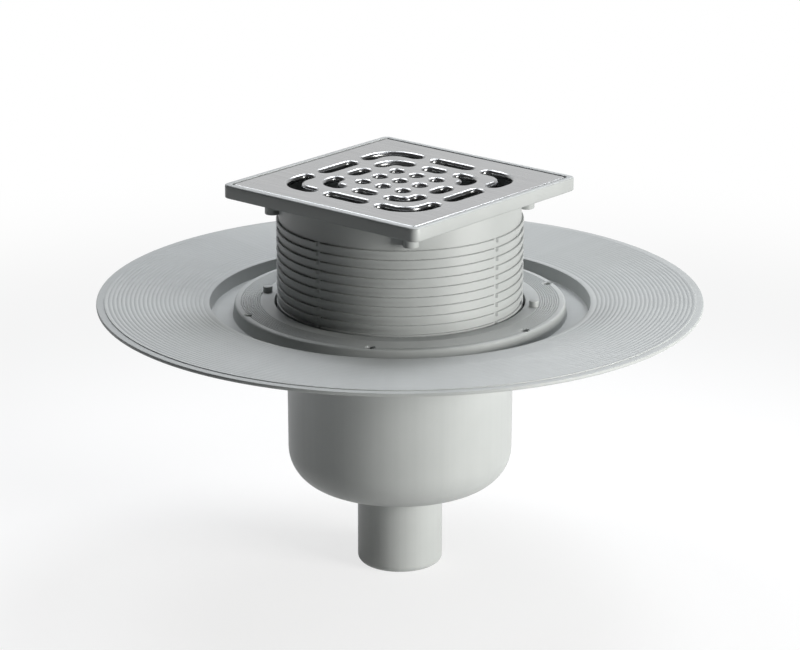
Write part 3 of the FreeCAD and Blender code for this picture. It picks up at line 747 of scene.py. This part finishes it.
def rolled_steel(name, dark, light):
    """Stainless sheet with a fine rolled grain along X and soft polish marks."""
    material = bpy.data.materials.new(name)
    material.use_nodes = True
    tree = material.node_tree
    shader = tree.nodes["Principled BSDF"]
    place = add_node(tree, "ShaderNodeTexCoord").outputs["Object"]
    stretched = add_node(tree, "ShaderNodeMapping", {"Vector": place, "Scale": (30, 1800, 1800)})
    grain = add_node(tree, "ShaderNodeTexNoise", {"Vector": stretched.outputs[0], "Scale": 1, "Detail": 3})
    clouds = add_node(tree, "ShaderNodeTexNoise", {"Vector": place, "Scale": 40, "Detail": 3})
    ramp = add_node(tree, "ShaderNodeValToRGB", {"Fac": grain.outputs[0]})
    ramp.color_ramp.elements[0].position = 0.25
    ramp.color_ramp.elements[0].color = linear(*dark)
    ramp.color_ramp.elements[1].position = 0.75
    ramp.color_ramp.elements[1].color = linear(*light)
    tree.links.new(ramp.outputs[0], shader.inputs["Base Color"])
    gloss = add_node(tree, "ShaderNodeMapRange", {
        "Value": clouds.outputs[0], "From Min": 0.3, "From Max": 0.7, "To Min": 0.22, "To Max": 0.3})
    tree.links.new(gloss.outputs[0], shader.inputs["Roughness"])
    bump = add_node(tree, "ShaderNodeBump", {
        "Height": grain.outputs[0], "Strength": 0.05, "Distance": 0.0001})
    tree.links.new(bump.outputs[0], shader.inputs["Normal"])
    shader.inputs["Metallic"].default_value = 1.0
    return material


grate_steel = rolled_steel("grate_steel", (146, 147, 148), (166, 167, 167))
collar_section = collar_levels()
section_outlines = [quarter_outlines(width) for width, _ in collar_section]
section_heights = [height for _, height in collar_section]
quarter_shape = bmesh.new()
for slot_outlines in zip(*section_outlines):
    quarter_shape.from_mesh(skin([lifted(*level) for level in zip(slot_outlines, section_heights)]))
quarter_mesh = bpy.data.meshes.new("quarter_collars")
quarter_shape.to_mesh(quarter_mesh)
quarter_shape.free()
collars = all_round(quarter_mesh, 4, 0, grate_steel)
middle_collar = skin([lifted(round_hole(0, 0, width), height) for width, height in collar_section])
top_outline = tray_outline(grate_half - tray_edge - flat_margin, grate_corner - tray_edge)
tray_rounds = [lifted(top_outline, grate_top)]
for step in range(edge_steps + 1):
    bend = step / edge_steps * math.pi / 2
    inset = tray_edge * (1 - math.sin(bend))
    tray_rounds.append(lifted(tray_outline(grate_half - inset, grate_corner - inset),
                              grate_top - tray_edge * (1 - math.cos(bend))))
tray_inside = tray_outline(grate_half - sheet, grate_corner - sheet)
tray_rounds.append(lifted(tray_outline(grate_half, grate_corner), grate_foot))
tray_rounds.append(lifted(tray_inside, grate_foot))
tray_rounds.append(lifted(tray_inside, grate_top - sheet))
top_sheet = flat_sheet([top_outline, *all_outlines(collar_section[0][0])], grate_top)
under_sheet = flat_sheet([tray_inside, *all_outlines(collar_section[-1][0])], grate_top - sheet)
pressed = bmesh.new()
for part in (top_sheet, under_sheet, collars, middle_collar, skin(tray_rounds)):
    pressed.from_mesh(part)
bmesh.ops.remove_doubles(pressed, verts=pressed.verts, dist=2 * MERGE)
pressed_mesh = bpy.data.meshes.new("pressed_sheet")
pressed.to_mesh(pressed_mesh)
pressed.free()
grate = one_piece("pressed_grate", [sound(pressed_mesh)], grate_steel)
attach(grate, "top_section")
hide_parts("grate")

# Stage: a pale floor under the spigot's end that fades into a white studio
floor_half = 6.0
floor_mesh = bpy.data.meshes.new("studio_floor")
floor_mesh.from_pydata([(-floor_half, -floor_half, 0), (floor_half, -floor_half, 0),
                        (floor_half, floor_half, 0), (-floor_half, floor_half, 0)], [], [(0, 1, 2, 3)])
floor = new_object("studio_floor", floor_mesh)
floor_paint = bpy.data.materials.new("floor_paint")
floor_paint.use_nodes = True
floor_tree = floor_paint.node_tree
floor_shader = floor_tree.nodes["Principled BSDF"]
floor_shader.inputs["Roughness"].default_value = 0.9
floor_shader.inputs["Specular IOR Level"].default_value = 0.0
floor_place = add_node(floor_tree, "ShaderNodeTexCoord").outputs["Object"]
floor_distance = add_node(floor_tree, "ShaderNodeVectorMath", {0: floor_place}, operation="LENGTH")
floor_fade = add_node(floor_tree, "ShaderNodeMapRange", {
    "Value": floor_distance.outputs["Value"],
    "From Min": 0.2, "From Max": 0.9, "To Min": 0.75, "To Max": 1.0}, interpolation_type="SMOOTHSTEP")
floor_tone = add_node(floor_tree, "ShaderNodeMapRange", {
    "Value": floor_distance.outputs["Value"],
    "From Min": 0.25, "From Max": 0.7, "To Min": 0.9, "To Max": 0.1}, interpolation_type="SMOOTHSTEP")
floor_tree.links.new(floor_tone.outputs[0], floor_shader.inputs["Base Color"])
floor_white = add_node(floor_tree, "ShaderNodeEmission", {"Color": (1, 1, 1, 1), "Strength": 1.0})
floor_path = add_node(floor_tree, "ShaderNodeLightPath")
floor_seen = add_node(floor_tree, "ShaderNodeMath",
                      {0: floor_path.outputs["Is Camera Ray"], 1: floor_path.outputs["Is Glossy Ray"]},
                      operation="MAXIMUM")
floor_share = add_node(floor_tree, "ShaderNodeMath", {0: floor_seen.outputs[0], 1: floor_fade.outputs[0]},
                       operation="MULTIPLY")
floor_mix = add_node(floor_tree, "ShaderNodeMixShader", {
    0: floor_share.outputs[0], 1: floor_shader.outputs[0], 2: floor_white.outputs[0]})
floor_tree.links.new(floor_mix.outputs[0], floor_tree.nodes["Material Output"].inputs["Surface"])
floor_mesh.materials.append(floor_paint)

# Studio light: surroundings that are white to the camera, white to gloss behind the object and dim in front
# of it, as in a studio with a white backdrop, and soft panels at the right, behind and above
camera_azimuth = math.radians(40.3)
camera_elevation = math.radians(17.3)
camera_right = Vector((math.cos(camera_azimuth), math.sin(camera_azimuth), 0))
camera_away = Vector((-math.sin(camera_azimuth), math.cos(camera_azimuth), 0))
scene_middle = Vector((0, 0, ring_top * MM))
surround = bpy.data.worlds.new("studio")
bpy.context.scene.world = surround
surround.use_nodes = True
sky = surround.node_tree
seen_path = add_node(sky, "ShaderNodeLightPath")
seen = add_node(sky, "ShaderNodeMath",
                {0: seen_path.outputs["Is Camera Ray"], 1: seen_path.outputs["Is Transmission Ray"]},
                operation="MAXIMUM")
sky_way = add_node(sky, "ShaderNodeTexCoord").outputs["Generated"]
behind = add_node(sky, "ShaderNodeVectorMath", {0: sky_way, 1: camera_away}, operation="DOT_PRODUCT")
backdrop = add_node(sky, "ShaderNodeMapRange", {
    "Value": behind.outputs["Value"], "From Min": 0.2, "From Max": 0.8, "To Min": 0.08, "To Max": 1.0},
    interpolation_type="SMOOTHSTEP")
gloss_seen = add_node(sky, "ShaderNodeMath", {0: seen_path.outputs["Is Glossy Ray"], 1: backdrop.outputs[0]},
                      operation="MULTIPLY")
sky_strength = add_node(sky, "ShaderNodeMath", {0: seen.outputs[0], 1: gloss_seen.outputs[0]},
                        operation="MAXIMUM")
sky_light = sky.nodes["Background"]
sky_light.inputs["Color"].default_value = (1, 1, 1, 1)
sky.links.new(sky_strength.outputs[0], sky_light.inputs["Strength"])
fill_tint = (0.94, 0.96, 1.0)
lamp_distance = 1.7
lamp_height = 0.7


def soft_lamp(name, turn, rise, width, watts, colour):
    """A soft panel aimed at the object, so many degrees to the camera's right and above the level."""
    lamp = bpy.data.lights.new(name, "AREA")
    lamp.shape = "RECTANGLE"
    lamp.size = width
    lamp.size_y = lamp_height
    lamp.energy = watts
    lamp.color = colour
    holder = new_object(name, lamp)
    holder.visible_camera = False
    round_axis, above = math.radians(turn), math.radians(rise)
    level_way = camera_right * math.sin(round_axis) - camera_away * math.cos(round_axis)
    way = level_way * math.cos(above) + Vector((0, 0, math.sin(above)))
    holder.location = scene_middle + way * lamp_distance
    holder.rotation_euler = (scene_middle - holder.location).to_track_quat("-Z", "Y").to_euler()


soft_lamp("window_right", 60, 8, 0.8, 43, (1.0, 0.99, 0.96))
soft_lamp("panel_behind_right", 150, 55, 0.7, 19.5, fill_tint)
soft_lamp("panel_behind_left", -150, 55, 0.7, 11, fill_tint)
soft_lamp("panel_front", 60, 55, 0.7, 3, fill_tint)

# Camera at the photograph's angle
ring_distance = 1.99
focal_length = 154.0
aim_drop = 0.016
camera_data = bpy.data.cameras.new("camera")
camera_data.lens = focal_length
camera_data.sensor_width = 36.0
camera = new_object("camera", camera_data)
level = Vector((0, 0, 1))
camera.location = scene_middle + ring_distance * (
    -camera_away * math.cos(camera_elevation) + level * math.sin(camera_elevation))
aim = scene_middle - level * aim_drop
camera.rotation_euler = (aim - camera.location).to_track_quat("-Z", "Y").to_euler()
bpy.context.scene.camera = camera
bpy.context.scene.view_settings.view_transform = "Standard"
